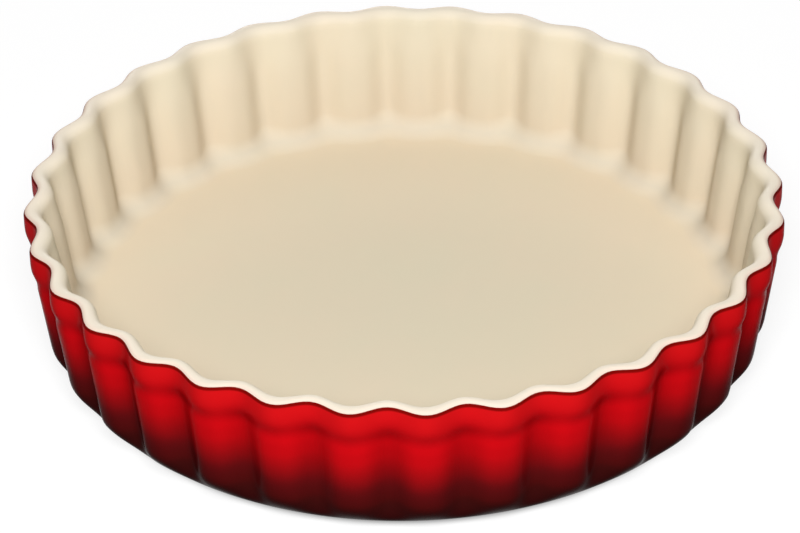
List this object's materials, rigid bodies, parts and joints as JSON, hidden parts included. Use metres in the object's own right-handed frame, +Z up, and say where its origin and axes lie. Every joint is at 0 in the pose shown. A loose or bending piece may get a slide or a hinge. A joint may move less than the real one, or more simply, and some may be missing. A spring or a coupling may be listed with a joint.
{
  "type": "flan dish",
  "caption": "Round shallow flan dish of glazed stoneware with a fluted wall, a rounded lip, a flat floor and a low foot ring, for baking and serving flans, tarts and quiches.",
  "frame": {"origin": "middle of the plane that the foot ring stands on", "axes": "+Z up along the dish's axis; a lobe of the fluted wall points along +X"},
  "size_m": [0.28, 0.28, 0.061],
  "materials": {
    "bare_stoneware": "bare fired clay, matt",
    "cream_glaze": "cream satin glaze",
    "red_glaze": "glossy red glaze that darkens to maroon at the heel and in the grooves",
    "base_glaze": "glossy dark maroon glaze"
  },
  "bodies": {
    "root": {"stoneware_body": "bare_stoneware", "inner_glaze": "cream_glaze", "outer_glaze": "red_glaze", "base_glaze": "base_glaze"}
  },
  "joints": []
}
